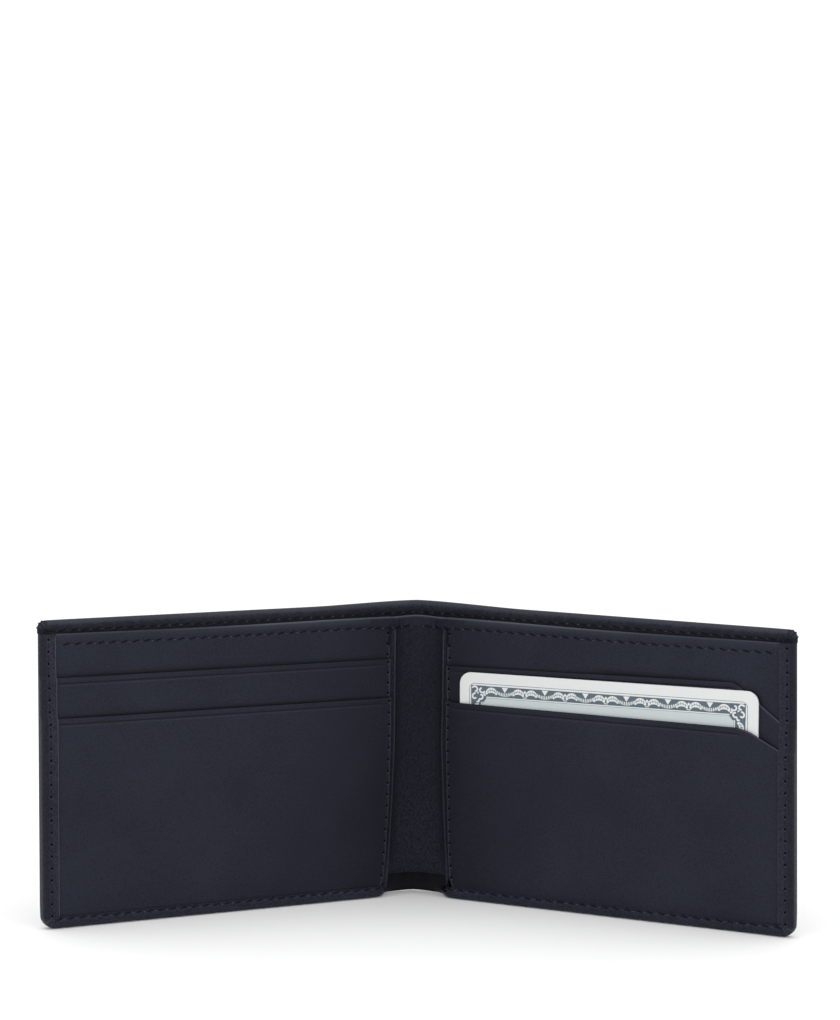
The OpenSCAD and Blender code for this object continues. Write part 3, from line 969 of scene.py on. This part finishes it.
# Each leather's second colour is the pale one of rubbed edges and painted highlights.
POCKET = leather("pocket_leather", (0.0146, 0.0167, 0.0297), (0.085, 0.09, 0.115), 0.36, 0.055, 0.5,
                 mottle=0.2, specular=0.13)
COVER = leather("cover_leather", (0.0187, 0.0187, 0.0352), (0.075, 0.077, 0.096), 0.55, 0.1, 0.5,
                mottle=0.3, specular=0.14)
SPINE = leather("spine_leather", (0.0145, 0.016, 0.0275), (0.065, 0.07, 0.09), 0.32, 0.12, 0.55,
                mottle=0.42, stretch=(1.5, 1, 0.5), specular=0.12)
LINING = cloth("lining_cloth", (0.012, 0.0125, 0.016), 0.45)
BOARD = plain("interlining_board", (0.09, 0.075, 0.055), 0.2, 900, 0.9, 0.03, 0.2)
THREAD = plain("thread", (0.003, 0.0036, 0.0088), 0.35, 2600, 0.5, 0.03, 0.08)
# The needle holes' near-black colour is painted shade, and the glints' pale colour a painted highlight.
HOLE_SHADE = plain("needle_hole_shade", (0.001, 0.0012, 0.002), 0.4, 2500, 0.95, 0.01, 0.03)
HOLE_GLINT = plain("hole_glint", (0.07, 0.078, 0.11), 0.35, 1800, 0.4, 0.01, 0.3)
SUNK = plain("sunk_thread", (0.0085, 0.0105, 0.022), 0.3, 2600, 0.5, 0.03, 0.12)
CARD = plain("card_plastic", (0.655, 0.671, 0.668), 0.03, 700, 0.35, 0.004, 0.4)
TINT = plain("card_tint", (0.497, 0.547, 0.556), 0.06, 1800, 0.4, 0.004, 0.3)
INK = plain("card_ink", (0.088, 0.123, 0.15), 0.25, 2400, 0.5, 0.004, 0.25)


# --- Pieces of both leaves ---

def panel_edge_highlight(a, b):
    """Painted highlights along the panel's inner edge below the hem, and along its top edge, strongest near
    the spine.
    """
    inner = bump(a, 0.08, 0.3) * (1 - smooth(b, PANEL_HEM_Z - 1, PANEL_HEM_Z))
    return np.maximum(inner, bump(PANEL_TOP - b, 0.1, 0.38) * (0.95 - 0.7 * smooth(a, 20, 70)))


def build_panel(side):
    a = lines(0, STACK_U, 1.6, PANEL_T / 2, SPINE_SEAM)
    b = lines(STACK_Z, PANEL_TOP, 1.6, (PANEL_T + HEM_T) / 2, HEM_LINE_Z, PANEL_HEM_Z)
    shade = behind_shade(UPPER_TOP) if side == "left" else behind_shade(rear_mouth, 0.75)
    panel = slab("panel_sheet_" + side, side, a, b, partial(panel_place, side), panel_thick, shade,
                 panel_edge_highlight)
    dress(panel, "pocket_leather", ["panel_" + side, "panel_hem_" + side], POCKET)
    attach(panel, side + "_leaf")


def build_pocket(kind, side, bottom, top, thick, place, behind=None):
    a = lines(0, STACK_U, 1.3, thick / 2, SPINE_SEAM)
    b = lines(bottom, top, 1.3, thick / 2, top - CREASE, top - 2.2)
    pocket = slab(kind + "_sheet_" + side, side, a, b, place, thick, pocket_shade(top, side, behind),
                  pocket_highlight(top, side))
    dress(pocket, "pocket_leather", [kind + "_" + side], POCKET)
    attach(pocket, side + "_leaf")


def lining_sheet(kind, side, u0, u1, z0, z1, v):
    """A cloth lining, stretched behind the leather that it is sewn to."""
    def place(u, z, depth):
        return leaf_point(u, v + depth + 0.03 * np.sin(u / 9) * np.sin(z / 8), z)

    a, b = lines(u0, u1, 4, LINING_T / 2), lines(z0, z1, 4, LINING_T / 2)
    sheet = slab(kind + "_sheet_" + side, side, a, b, place, LINING_T)
    dress(sheet, "lining_cloth", [kind + "_" + side], LINING)
    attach(sheet, side + "_leaf")


def cover_layer(name, side, s0, s1, z0, z1, depth, thick):
    """A thin sheet glued to the inside of the cover, at a depth in front of the cover's back."""
    a = lines(s0, s1, 1.5, thick / 2)
    b = lines(z0, z1, 4, thick / 2)

    def place(s, z, behind):
        return cover_point(s, z, depth + thick - behind, np.full(np.shape(s), 9.0))

    return slab(name, side, a, b, place, thick)


def bend_with_leaf(piece, side):
    """Bakes a piece's place in the scene into its mesh."""
    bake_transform(piece)


def build_cover_parts(side):
    """The cover, its interlining and the banknote compartment's lining."""
    cover = build_cover(side)
    halves = [kind + side for kind in ("cover_", "cover_hem_", "side_turn_in_", "bottom_turn_in_")]
    dress(cover, "cover_leather", halves + ["cover_spine", "cover_hem_spine", "bottom_turn_in_spine"], COVER)
    bend_with_leaf(cover, side)
    end = S_MAX - SIDE_STRIP_W
    board = cover_layer("interlining_sheet_" + side, side, COVER_PLAN.s_at(-1), end,
                        SPINE_STRIP_Z, LINING_TOP, COVER_T - 0.35, BOARD_T)
    dress(board, "board", ["interlining_" + side], BOARD)
    bend_with_leaf(board, side)
    lining = cover_layer("bill_lining_sheet_" + side, side, 0.0, end, SPINE_STRIP_Z, LINING_TOP,
                         COVER_T, LINING_T)
    dress(lining, "lining_cloth", ["bill_lining_" + side, "bill_lining_spine"], LINING)
    bend_with_leaf(lining, side)


STRIP_END = STRIP_PLAN.s_at(4.5)
STRIP_EDGE = STRIP_PLAN.s_at(-0.6)
BAND_FOOT, BAND_TOP = HEM_LINE_Z - 0.35, PANEL_TOP + 0.12
BAND_T = 0.34


def strip_place(side, s, z, depth):
    """The soft strip across the spine, with upright wrinkles and a fold beside each panel."""
    fold = fold_s(z, side)
    calm = smooth(s, 0, 1.4) * (1 - smooth(s, STRIP_EDGE - 1.2, STRIP_EDGE - 0.4))
    waves = np.sin(s * 2.9 + 0.9 * np.sin(z / 6.5)) * np.sin(z / 5 + 1) + 0.6 * np.sin(s * 5.1 + z / 3.2)
    lift = 0.022 * waves * calm + 0.4 * bump(s, fold, 0.38) * (1 - smooth(z, 71.5, 73.5))
    lift = lift - 0.12 * bump(s, fold + 0.75, 0.35)
    top = 0.1 * np.cos(s / 1.9) * smooth(z, 72, PANEL_TOP)
    foot = 4.1 * smooth(s, fold - 1.35, fold + 0.1) - 1.0
    foot = foot * (1 - smooth(z, SPINE_STRIP_Z, SPINE_STRIP_Z + 8))
    return STRIP_PLAN.point(s, lift - depth, z + top - foot)


def strip_shade(side, s, z):
    """Painted shade in the gap beside the panel and in the hollow on the fold's inner side, and a little
    higher up the strip.
    """
    fold = fold_s(z, side)
    edge = STRIP_PLAN.s_at(inner_edge(z, side))
    gap = 0.95 * smooth(s, edge - 0.55, edge - 0.3)
    hollow = 0.6 * smooth(s, fold - 3.2, fold - 0.4) * (1 - smooth(s, fold - 0.4, fold - 0.1))
    hollow = hollow * smooth(z, 3, 13)
    high = 0.2 * smooth(z, 20, 60) * (1 - smooth(s, fold - 0.4, fold))
    return np.clip(gap + hollow + high * (1 - hollow), 0, 1)


def strip_highlight(side, s, z):
    """Painted highlights along the strip's folds and on the flaps at its foot."""
    fold = fold_s(z, side)
    flap = 0.2 * smooth(s, fold - 1.1, fold - 0.3) * (1 - smooth(z, 6, 14))
    return np.maximum(0.42 * bump(s, fold, 0.22), flap)


def strip_thick(s, z):
    hem = (HEM_T - 0.1) * smooth(z, PANEL_HEM_Z - 0.2, PANEL_HEM_Z + 0.4)
    return PANEL_T + hem * (1 - smooth(s, 9, 10))


def band_place(side, s, z, depth):
    """The hem's facing, which runs across the spine and fades into the panel."""
    edge = inner_edge(PANEL_TOP, side)
    sink = 0.42 * smooth(s, STRIP_PLAN.s_at(1.0), STRIP_PLAN.s_at(7.5))
    rise = smooth(s, STRIP_PLAN.s_at(edge - 5.0), STRIP_PLAN.s_at(edge - 0.1))
    ahead = 0.12 + (PANEL_T + 0.27) * rise - sink
    ahead = ahead + 0.05 * np.sin(s * 3.3) * smooth(s, 0, 1) * (1 - smooth(s, 6, 9))
    ahead = ahead - 0.06 * bump(z, HEM_LINE_Z, 0.4)
    top = 0.1 * np.cos(s / 1.9) * (1 - smooth(s, 7, 9.5)) * smooth(z, 72, PANEL_TOP)
    return STRIP_PLAN.point(s, ahead - depth, z + top)


# Painted highlight along the facing's top edge.
def band_highlight(s, z):
    return bump(BAND_TOP - z, 0.08, 0.3)


def band_shade(side, s, z):
    """Painted shade: as dark as the panel where the facing fades into it, and darker along its lower edge.
    """
    a = s - STRIP_PLAN.s_at(inner_edge(PANEL_TOP, side))
    under = 0.4 * (1 - smooth(z, BAND_FOOT, 75)) * (1 - smooth(a, -1, 3))
    return under + np.maximum(0.35 * (1 - smooth(s, 3, 14)), spine_shade(a) * smooth(a, -3, 0))


def build_spine_parts(side):
    """Half of the soft spine strip and half of the hem's facing above it."""
    a = from_centre(STRIP_END, 0.2)
    b = lines(SPINE_STRIP_Z, PANEL_TOP - 0.25, 1.2, PANEL_T / 2, HEM_LINE_Z)
    strip = slab("spine_strip_sheet_" + side, side, a, b, partial(strip_place, side), strip_thick,
                 partial(strip_shade, side), partial(strip_highlight, side), centred=True)
    dress(strip, "spine_leather", ["spine_strip", "spine_strip_hem"], SPINE)
    bend_with_leaf(strip, side)
    a = from_centre(STRIP_PLAN.s_at(7.0), 0.3)
    b = lines(BAND_FOOT, BAND_TOP, 0.4, 0.15)
    band = slab("hem_band_" + side, side, a, b, partial(band_place, side), BAND_T,
                partial(band_shade, side), band_highlight, centred=True)
    dress(band, "pocket_leather", ["spine_strip_hem"], POCKET)
    bend_with_leaf(band, side)


def from_centre(end, step):
    """Grid lines at even steps from the spine's middle, and one at the end."""
    return np.unique(np.append(np.arange(0, end, step), end))


# --- Seams ---

def cover_route(edge, depth=None):
    """A seam near an edge of the cover: on the turned-in strip at the depth that depth gives, or
    without one on the cover's back."""
    inset = {"side": SIDE_SEAM, "bottom": BOTTOM_SEAM, "top": HEM_SEAM}[edge]

    def route(c, lift):
        spots = {"side": (S_MAX - inset, c), "bottom": (c, inset), "top": (c, WALLET_H - inset)}
        if depth is None:
            return cover_point(*spots[edge], -lift, STRIP_DEPTH)
        return cover_point(*spots[edge], depth(c) - SEAM_PRESS + strip_swell(c, inset) + lift, 0.01)
    return route


def hem_route(place, side):
    """A seam along the hem of a sheet."""
    return lambda c, lift: place(side, c, HEM_LINE_Z, -lift)


def inner_route(place):
    """A seam up the inner edge of a sheet."""
    return lambda z, lift: place(SPINE_SEAM, z, -lift)


def build_seams(side, layers):
    """All the stitches of one side. layers are the sheets that the inner seam crosses."""
    side_holes = hole_places(BOTTOM_SEAM + 1.0, PANEL_TOP - 1.2)
    bottom_holes = hole_places(COVER_PLAN.s_at(1.6), S_MAX - SIDE_SEAM - 0.6)
    hem_holes = hole_places(1.2, LEAF_LEN - SIDE_STRIP_W - 1.5)
    cover_holes = hole_places(1.6, S_MAX - SIDE_STRIP_W - 1.0)
    edge = stitches(
        "edge_seam_" + side, side, ["edge_stitches_" + side],
        (cover_route("side", lambda z: side_depth(z, side)), side_holes, True),
        (cover_route("bottom", bottom_depth), bottom_holes, False),
        (cover_route("side"), side_holes, False), (cover_route("bottom"), bottom_holes, False),
    )
    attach(edge, side + "_leaf")
    hem = stitches("hem_seam_" + side, side, ["hem_stitches_" + side],
                   (hem_route(panel_place, side), hem_holes[1:], False))
    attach(hem, side + "_leaf")
    band_holes = hole_places(1.6, STRIP_PLAN.s_at(hem_holes[1]))
    band = stitches("hem_seam_spine_" + side, side, ["hem_stitches_spine"],
                    (hem_route(band_place, side), band_holes, False))
    bend_with_leaf(band, side)
    cover = stitches(
        "cover_hem_seam_" + side, side, ["cover_hem_stitches_" + side, "cover_hem_stitches_spine"],
        (cover_route("top", lambda s: TOP_DEPTH), cover_holes, False),
        (cover_route("top"), cover_holes, False),
    )
    bend_with_leaf(cover, side)
    seams = [(inner_route(place), hole_places(z0, z1), True) for place, z0, z1 in layers]
    inner = stitches("inner_seam_" + side, side, ["spine_seam_stitches_" + side], *seams)
    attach(inner, side + "_leaf")


# --- Card ---

def card_point(x, y, lift):
    """A point on the card's front face, x along it and y up it, lifted off the face."""
    x, y, lift = np.broadcast_arrays(np.asarray(x, float), np.asarray(y, float), np.asarray(lift, float))
    u = CARD_U + x * math.cos(CARD_TILT) - y * math.sin(CARD_TILT)
    z = CARD_Z + x * math.sin(CARD_TILT) + y * math.cos(CARD_TILT)
    return leaf_point(u, CARD_V - lift, z)


def round_rectangle(x0, y0, x1, y1, r, steps=8):
    """Outline of a rectangle with round corners, anticlockwise."""
    spots = []
    corners = [(x1 - r, y0 + r, -90), (x1 - r, y1 - r, 0), (x0 + r, y1 - r, 90), (x0 + r, y0 + r, 180)]
    for cx, cy, start in corners:
        for k in range(steps + 1):
            angle = math.radians(start + 90 * k / steps)
            spots.append((cx + r * math.cos(angle), cy + r * math.sin(angle)))
    return np.array(spots)


def build_card():
    """The card's body, with a small bevel round both faces."""
    rings = []
    for inset, lift in ((0.12, 0), (0.03, -0.04), (0, -0.12), (0, 0.12 - CARD_T), (0.03, 0.04 - CARD_T),
                        (0.12, -CARD_T)):
        outline = round_rectangle(inset, inset, CARD_W - inset, CARD_H - inset, CARD_R - inset)
        rings.append(card_point(outline[:, 0], outline[:, 1], lift))
    count = len(rings[0])
    faces = [tuple(range(count)), tuple(range(5 * count, 6 * count))[::-1]]
    for k in range(5):
        for m in range(count):
            n = (m + 1) % count
            faces.append((k * count + m, k * count + n, (k + 1) * count + n, (k + 1) * count + m))
    card = link_mesh("card_sheet", np.concatenate(rings), faces, "right", slant=False)
    card.data.polygons.foreach_set("use_smooth", [len(f.vertices) == 4 for f in card.data.polygons])
    dress(card, "card_plastic", ["card"], CARD)
    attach(card, "card")


class Print:
    """Flat ink and paper shapes on the card's face."""

    def __init__(self):
        self.points, self.faces, self.marks = [], [], []

    def shape(self, outline, layer):
        lift, mark = layer
        outline = np.asarray(outline, float)
        start = len(self.points)
        self.points += list(card_point(outline[:, 0], outline[:, 1], lift))
        self.faces.append(tuple(range(start, start + len(outline))))
        self.marks.append(mark)

    def ribbon(self, path, width, layer, closed=False):
        lift, mark = layer
        path = np.asarray(path, float)
        if closed:
            path = np.concatenate([path, path[:1]])
        along = np.gradient(path, axis=0)
        if closed:
            along[0] = along[-1] = path[1] - path[-2]
        along /= np.linalg.norm(along, axis=1, keepdims=True)
        off = np.stack([-along[:, 1], along[:, 0]], 1) * np.reshape(width, (-1, 1)) / 2
        start, n = len(self.points), len(path)
        for edge in (path + off, path - off):
            self.points += list(card_point(edge[:, 0], edge[:, 1], lift))
        for k in range(n - 1):
            self.faces.append((start + k, start + k + 1, start + n + k + 1, start + n + k))
            self.marks.append(mark)


def spiral(cx, cy, r, start, turn):
    """A curl that winds inwards."""
    t = np.linspace(0, 1, 14)
    angle = start + turn * t
    radius = r * (1 - 0.7 * t)
    return np.stack([cx + radius * np.cos(angle), cy + radius * np.sin(angle)], 1)


PRINT_INSET = 2.9
BAND_H = 2.9
MOTIF = 12.0
# Layers of the print: how far each lies off the card, and its place in (INK, CARD, TINT)
FIELD, FRAME_LINE, BLOCK, INK_LINE = (0.004, 2), (0.008, 0), (0.012, 0), (0.02, 0)
PAPER, PAPER_DASH, CURL = (0.016, 1), (0.018, 1), (0.02, 1)


def border_run(art, place, length):
    """One side of the border: swags of short ticks between pairs of veined arches, on the inked band."""
    count = int(round(length / MOTIF))
    pitch = length / count
    for k in range(count):
        mid = (k + 0.5) * pitch
        wedge = [(mid - 0.95, 2.75), (mid, 1.3), (mid + 0.95, 2.75)]
        art.shape(place(wedge), PAPER)
        for m in range(-5, 6):
            x = m * 0.46
            low = 0.28 + 0.14 * x * x
            art.ribbon(place([(mid + x, low), (mid + x * 1.2, low + 0.95)]), 0.27, PAPER)
        rise = np.linspace(0.1, math.pi - 0.1, 13)
        for way in (-1, 1):
            arch = np.stack([mid + way * (3.95 - 1.5 * np.cos(rise)), 0.5 + 1.35 * np.sin(rise)], 1)
            art.ribbon(place(arch), 0.35 + 1.1 * np.sin(rise), PAPER)
            art.ribbon(place(arch[2:-2]), 0.13, INK_LINE)
            for m in range(3, 10, 2):
                vein = [arch[m] + np.array([0.1 * way, 0.5]), arch[m] - np.array([0.1 * way, 0.45])]
                art.ribbon(place(vein), 0.09, INK_LINE)
        end = (k + 1) * pitch
        if k < count - 1:
            diamond = [(end, 2.35), (end + 0.42, 1.85), (end, 1.35), (end - 0.42, 1.85)]
            art.shape(place(diamond), PAPER)
            art.ribbon(place([(end - 0.55, 0.35), (end + 0.55, 0.35)]), 0.22, PAPER)


def build_print():
    """The printed border: a frame line, a band of swags with a curled corner block, and a tinted field."""
    art = Print()
    x0 = y0 = PRINT_INSET
    x1, y1 = CARD_W - PRINT_INSET, CARD_H - PRINT_INSET
    art.ribbon(round_rectangle(x0, y0, x1, y1, 1.6, 6), 0.13, FRAME_LINE, closed=True)
    inner = 0.55
    mid = inner + BAND_H / 2
    middle = round_rectangle(x0 + mid, y0 + mid, x1 - mid, y1 - mid, 0.05, 2)
    art.ribbon(middle, BAND_H, FRAME_LINE, closed=True)
    low = inner + BAND_H + 0.35
    field = round_rectangle(x0 + low, y0 + low, x1 - low, y1 - low, 0.1, 2)
    art.shape(field, FIELD)
    art.ribbon(field, 0.1, FRAME_LINE, closed=True)
    corner = 4.6
    wide, high = x1 - x0 - 2 * corner, y1 - y0 - 2 * corner
    runs = [
        (lambda p: [(x0 + corner + a, y1 - inner - BAND_H + b) for a, b in p], wide),
        (lambda p: [(x1 - corner - a, y0 + inner + BAND_H - b) for a, b in p], wide),
        (lambda p: [(x0 + inner + BAND_H - b, y0 + corner + a) for a, b in p], high),
        (lambda p: [(x1 - inner - BAND_H + b, y1 - corner - a) for a, b in p], high),
    ]
    for place, length in runs:
        border_run(art, place, length)
    for sx, ox in ((1, x0), (-1, x1)):
        for sy, oy in ((1, y0), (-1, y1)):
            corner_print(art, ox, oy, sx, sy)
    piece = link_mesh("card_border", np.array(art.points), art.faces, "right", marks=art.marks, shut=False,
                      slant=False)
    face_viewer(piece)
    dress(piece, "card_plastic", ["card"], INK, CARD, TINT)
    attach(piece, "card")


def corner_print(art, ox, oy, sx, sy):
    """The curls that fill a corner of the border."""
    def at(path):
        return [(ox + sx * a, oy + sy * b) for a, b in path]

    block = [(0.5, 0.5), (5.0, 0.5), (5.0, 4.0), (4.2, 5.0), (0.5, 5.0)]
    art.shape(at(block), BLOCK)
    for cx, cy, r, start, turn in (
        (1.75, 1.7, 0.95, 3.6, 4.6), (3.65, 1.6, 0.9, 0.4, 4.4), (1.65, 3.65, 0.9, 4.9, -4.4),
        (3.4, 3.4, 0.85, 2.2, -4.2), (4.6, 2.6, 0.45, 1.0, 3.8), (2.6, 4.6, 0.45, 2.6, -3.8),
    ):
        art.ribbon(at(spiral(cx, cy, 1.08 * r, start, turn)), 0.48, CURL)
    art.ribbon(at([(2.2, 2.4), (2.75, 2.75), (2.5, 2.2)]), 0.3, PAPER_DASH)


def face_viewer(piece):
    """Turns flat shapes so that they all face the front of the leaf."""
    front = Vector((-SIN, -COS, 0))
    for face in piece.data.polygons:
        if face.normal.dot(front) < 0:
            face.flip()
    piece.data.update()


# --- Putting it together ---

for side in SIDES:
    build_cover_parts(side)
    build_panel(side)
    build_spine_parts(side)
    lining_sheet("divider_lining", side, 1.0, STACK_U - 1.5, STACK_Z + 0.4, PANEL_HEM_Z,
                 PANEL_V + PANEL_T + 0.04)

lower_place = pocket_place("left", LOWER_TOP, 0.5, 0.22, no_drop)
upper_place = pocket_place("left", UPPER_TOP, 1.62, 0.2, no_drop, bottom_pinch=1.75)
front_place = pocket_place("right", FRONT_TOP, 0.0, 0.0, front_drop, card_relief=0.09, tilt=FRONT_TILT)
rear_place = pocket_place("right", REAR_TOP, 1.8, 0.05, rear_drop, bottom_pinch=1.8, tilt=REAR_TILT)
build_pocket("lower_pocket", "left", STACK_Z, LOWER_TOP, FRONT_T, lower_place)
build_pocket("upper_pocket", "left", UPPER_BAND_Z, UPPER_TOP, REAR_T, upper_place, behind_shade(LOWER_TOP))
build_pocket("front_pocket", "right", STACK_Z, FRONT_TOP, FRONT_T, front_place)
build_pocket("rear_pocket", "right", REAR_BAND_Z, REAR_TOP, REAR_T, rear_place,
             behind_shade(front_mouth, 0.5))
slot_end = STACK_U - 2.5
lining_sheet("upper_slot_lining", "left", 3.0, slot_end, UPPER_LINING_Z, UPPER_BAND_Z, 1.85)
lining_sheet("rear_slot_lining", "right", 3.0, slot_end, REAR_LINING_Z, REAR_BAND_Z, 2.1)

for side, first, first_top, second, second_top in (
    ("left", lower_place, LOWER_TOP, upper_place, UPPER_TOP),
    ("right", front_place, FRONT_TOP, rear_place, REAR_TOP),
):
    build_seams(side, [
        (first, 6.0, first_top - 0.9), (second, first_top + 1.2, second_top - 0.9),
        (partial(panel_place, side), second_top + 1.2, HEM_LINE_Z - 1.6),
    ])
build_card()
build_print()


# --- Floor and light ---

def build_floor():
    size = 3.0
    corners = [(-size, -size, 0), (size, -size, 0), (size, size, 0), (-size, size, 0)]
    mesh = bpy.data.meshes.new("floor")
    mesh.from_pydata(corners, [], [(0, 1, 2, 3)])
    mesh.materials.append(plain("floor_paper", (0.965, 0.965, 0.965), 0.002, 300, 0.9, 0.0, 0.05))
    floor = put_in_scene("floor", mesh)
    floor.location.z = -0.0002


def area_light(name, place, width, height, power):
    """A soft light that is turned towards the middle of the wallet."""
    data = bpy.data.lights.new(name, "AREA")
    data.shape = "RECTANGLE"
    data.size, data.size_y = width, height
    data.energy = power
    light = put_in_scene(name, data)
    light.location = place
    light.rotation_euler = (Vector((0, 0, 0.04)) - Vector(place)).to_track_quat("-Z", "Y").to_euler()


def build_light():
    world = bpy.data.worlds.new("studio")
    world.use_nodes = True
    background = world.node_tree.nodes["Background"]
    background.inputs["Color"].default_value = (1, 1, 1, 1)
    background.inputs["Strength"].default_value = 1.06
    bpy.context.scene.world = world
    area_light("softbox_above", (0.0, 0.1, 0.9), 1.2, 0.6, 1.2)
    area_light("softbox_left", (-0.9, -0.7, 0.6), 0.5, 0.5, 1.6)
    area_light("softbox_right", (0.9, -0.7, 0.6), 0.5, 0.5, 1.6)
    bpy.context.scene.view_settings.view_transform = "Standard"


build_floor()
build_light()
